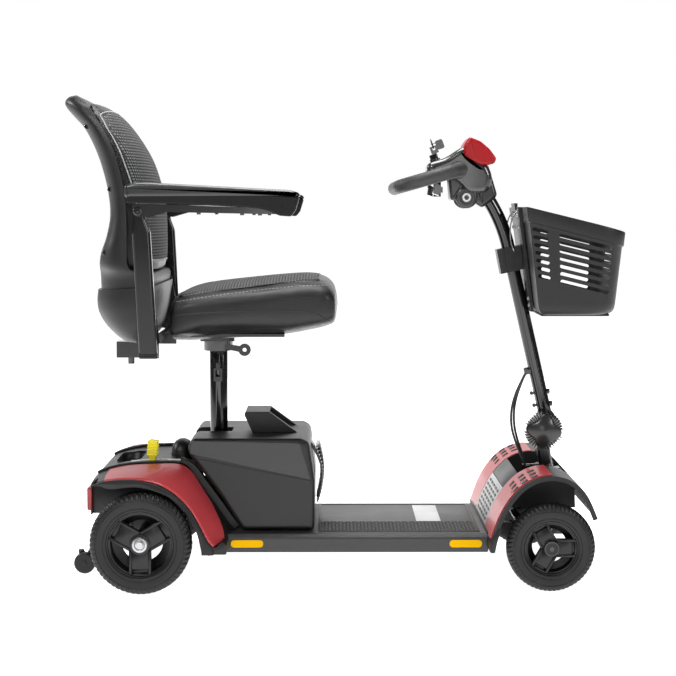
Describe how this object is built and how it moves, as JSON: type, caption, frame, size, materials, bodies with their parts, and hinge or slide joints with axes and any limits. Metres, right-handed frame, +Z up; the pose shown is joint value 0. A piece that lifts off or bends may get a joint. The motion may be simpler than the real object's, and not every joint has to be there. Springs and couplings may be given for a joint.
{
  "type": "mobility scooter",
  "caption": "Compact travel mobility scooter: swivel seat with folding back and flip-up armrests, leaning tiller with loop handlebar, basket, lift-out battery pack and solid tyres.",
  "frame": {"origin": "centre of the whole object's footprint, on the ground", "axes": "+X forward, +Y to the rider's left, +Z up"},
  "size_m": [1.1543, 0.544, 1],
  "materials": {
    "black_paint": "gloss black enamel",
    "black_plastic": "fine grained black moulding",
    "satin_plastic": "satin dark grey moulding",
    "gloss_black": "gloss black",
    "red_gloss": "gloss red",
    "vinyl": "leather-grain upholstery vinyl",
    "foam_grip": "soft foam",
    "tyre": "solid charcoal rubber",
    "rim": "satin black",
    "steel": "zinc plated",
    "cast": "black coated casting",
    "mat": "ribbed rubber mat",
    "amber": "amber reflector",
    "lamp_red": "red reflector",
    "grey_plastic": "light grey",
    "yellow": "yellow",
    "alu": "die cast",
    "cell": "sealed battery case",
    "cable": "black sheath"
  },
  "bodies": {
    "chassis": {"main_frame": "black_paint", "head_bearings": "steel", "deck_pan": "black_plastic", "deck_mat": "mat", "side_reflectors": "amber", "front_shroud": "black_plastic", "front_shroud_panels": "red_gloss", "shroud_grille": "grey_plastic", "rear_frame": "black_paint", "transaxle_housing": "alu", "drive_motor": "black_paint", "controller": "alu", "rear_shroud": "black_plastic", "rear_shroud_panels": "red_gloss", "rear_reflectors": "lamp_red", "antitip_arms": "black_paint"},
    "antitip": {"antitip_wheels": "rim"},
    "freewheel": {"freewheel_lever": "yellow"},
    "stem": {"steering_stem": "black_paint", "tiller_cable": "cable"},
    "tie_rod": {"tie_rod": "black_paint"},
    "clamp_knob": {"tiller_knob": "gloss_black"},
    "tiller": {"tiller_tube": "black_paint", "basket_bracket": "black_paint", "handlebar_loop": "foam_grip", "console_housing": "satin_plastic", "console_cap": "red_gloss"},
    "basket": {"basket": "black_plastic"},
    "throttle": {"throttle_lever": "black_plastic"},
    "dial": {"speed_dial": "black_plastic"},
    "key": {"ignition_key": "steel", "key_ring": "steel"},
    "battery": {"battery_case": "black_plastic", "battery_lid": "satin_plastic", "battery_handle": "black_plastic", "battery_cells": "cell"},
    "seat_post": {"seat_post": "black_paint"},
    "seat": {"seat_frame": "black_paint", "seat_cushion": "vinyl"},
    "swivel_lever": {"swivel_lever": "steel"},
    "backrest": {"backrest_shell": "satin_plastic", "backrest_cushion": "vinyl"},
    "rear_wheel_right": {"rear_tyre_right": "tyre", "rear_rim_right": "rim", "rear_axle_right": "steel"},
    "front_wheel_right": {"front_tyre_right": "tyre", "front_rim_right": "rim"},
    "knuckle_right": {"steering_knuckle_right": "cast"},
    "arm_post_right": {"armrest_post_right": "black_paint"},
    "armrest_right": {"armrest_arm_right": "black_paint", "armrest_pad_right": "gloss_black"},
    "rear_wheel_left": {"rear_tyre_left": "tyre", "rear_rim_left": "rim", "rear_axle_left": "steel"},
    "front_wheel_left": {"front_tyre_left": "tyre", "front_rim_left": "rim"},
    "knuckle_left": {"steering_knuckle_left": "cast"},
    "arm_post_left": {"armrest_post_left": "black_paint"},
    "armrest_left": {"armrest_arm_left": "black_paint", "armrest_pad_left": "gloss_black"}
  },
  "joints": [
    {"name": "antitip_spin", "type": "hinge", "parent": "chassis", "child": "antitip", "pos_m": [-0.5395, 0, 0.032], "axis": [0, 1, 0], "continuous": true},
    {"name": "freewheel_turn", "type": "hinge", "parent": "chassis", "child": "freewheel", "pos_m": [-0.3985, -0.096, 0.196], "axis": [0, 1, 0], "range_deg": [0, 22]},
    {"name": "steering_turn", "type": "hinge", "parent": "chassis", "child": "stem", "pos_m": [0.44727, 0, 0.09365], "axis": [-0.1392, 0, 0.9903], "range_deg": [-28, 28]},
    {"name": "tie_rod_turn", "type": "hinge", "parent": "stem", "child": "tie_rod", "pos_m": [0.40271, 0, 0.08738], "axis": [-0.1392, 0, 0.9903], "range_deg": [-28, 28]},
    {"name": "rear_spin_right", "type": "hinge", "parent": "chassis", "child": "rear_wheel_right", "pos_m": [-0.4065, -0.24, 0.1016], "axis": [0, 1, 0], "continuous": true},
    {"name": "knuckle_turn_right", "type": "hinge", "parent": "chassis", "child": "knuckle_right", "pos_m": [0.4135, -0.184, 0.0889], "axis": [-0.1392, 0, 0.9903], "range_deg": [-28, 28]},
    {"name": "front_spin_right", "type": "hinge", "parent": "knuckle_right", "child": "front_wheel_right", "pos_m": [0.4135, -0.224, 0.0889], "axis": [0, 1, 0], "continuous": true},
    {"name": "armrest_width_right", "type": "slide", "parent": "seat", "child": "arm_post_right", "axis": [0, -1, 0], "range_m": [0, 0.05]},
    {"name": "armrest_lift_right", "type": "hinge", "parent": "arm_post_right", "child": "armrest_right", "pos_m": [-0.4045, -0.245, 0.761], "axis": [0, 1, 0], "range_deg": [-90, 0]},
    {"name": "rear_spin_left", "type": "hinge", "parent": "chassis", "child": "rear_wheel_left", "pos_m": [-0.4065, 0.24, 0.1016], "axis": [0, 1, 0], "continuous": true},
    {"name": "knuckle_turn_left", "type": "hinge", "parent": "chassis", "child": "knuckle_left", "pos_m": [0.4135, 0.184, 0.0889], "axis": [-0.1392, 0, 0.9903], "range_deg": [-28, 28]},
    {"name": "front_spin_left", "type": "hinge", "parent": "knuckle_left", "child": "front_wheel_left", "pos_m": [0.4135, 0.224, 0.0889], "axis": [0, 1, 0], "continuous": true},
    {"name": "armrest_width_left", "type": "slide", "parent": "seat", "child": "arm_post_left", "axis": [0, 1, 0], "range_m": [0, 0.05]},
    {"name": "armrest_lift_left", "type": "hinge", "parent": "arm_post_left", "child": "armrest_left", "pos_m": [-0.4045, 0.245, 0.761], "axis": [0, 1, 0], "range_deg": [-90, 0]},
    {"name": "tiller_tilt", "type": "hinge", "parent": "stem", "child": "tiller", "pos_m": [0.4215, 0, 0.3], "axis": [0, 1, 0], "range_deg": [-18, 10], "deforming": ["tiller_cable"]},
    {"name": "clamp_knob_turn", "type": "hinge", "parent": "stem", "child": "clamp_knob", "pos_m": [0.4215, 0, 0.3], "axis": [0, 1, 0], "continuous": true},
    {"name": "basket_lift", "type": "slide", "parent": "tiller", "child": "basket", "axis": [-0.1319, 0, 0.9913], "range_m": [0, 0.18]},
    {"name": "throttle_squeeze", "type": "hinge", "parent": "tiller", "child": "throttle", "pos_m": [0.1975, 0, 0.805], "axis": [0, 0, 1], "range_deg": [-18, 18], "stiffness_Nm_per_rad": 0.3},
    {"name": "speed_dial_turn", "type": "hinge", "parent": "tiller", "child": "dial", "pos_m": [0.1905, -0.02, 0.8662], "axis": [-0.342, 0, 0.9397], "range_deg": [0, 270]},
    {"name": "key_turn", "type": "hinge", "parent": "tiller", "child": "key", "pos_m": [0.1995, 0.014, 0.8694], "axis": [-0.342, 0, 0.9397], "range_deg": [0, 90]},
    {"name": "battery_lift", "type": "slide", "parent": "chassis", "child": "battery", "axis": [0, 0, 1], "range_m": [0, 0.05]},
    {"name": "seat_height", "type": "slide", "parent": "chassis", "child": "seat_post", "axis": [0, 0, 1], "range_m": [0, 0.05]},
    {"name": "seat_swivel", "type": "hinge", "parent": "seat_post", "child": "seat", "pos_m": [-0.2665, 0, 0.49], "axis": [0, 0, 1], "continuous": true},
    {"name": "swivel_lever_pull", "type": "hinge", "parent": "seat", "child": "swivel_lever", "pos_m": [-0.2405, -0.1, 0.482], "axis": [0, 1, 0], "range_deg": [0, 12], "stiffness_Nm_per_rad": 1.2, "springref_deg": -5.73},
    {"name": "backrest_fold", "type": "hinge", "parent": "seat", "child": "backrest", "pos_m": [-0.4005, 0, 0.605], "axis": [0, 1, 0], "range_deg": [0, 70]}
  ],
  "couplings": [
    {"joint": "knuckle_turn_right", "follows": "steering_turn", "ratio": 1},
    {"joint": "knuckle_turn_left", "follows": "steering_turn", "ratio": 1},
    {"joint": "tie_rod_turn", "follows": "steering_turn", "ratio": -1}
  ]
}
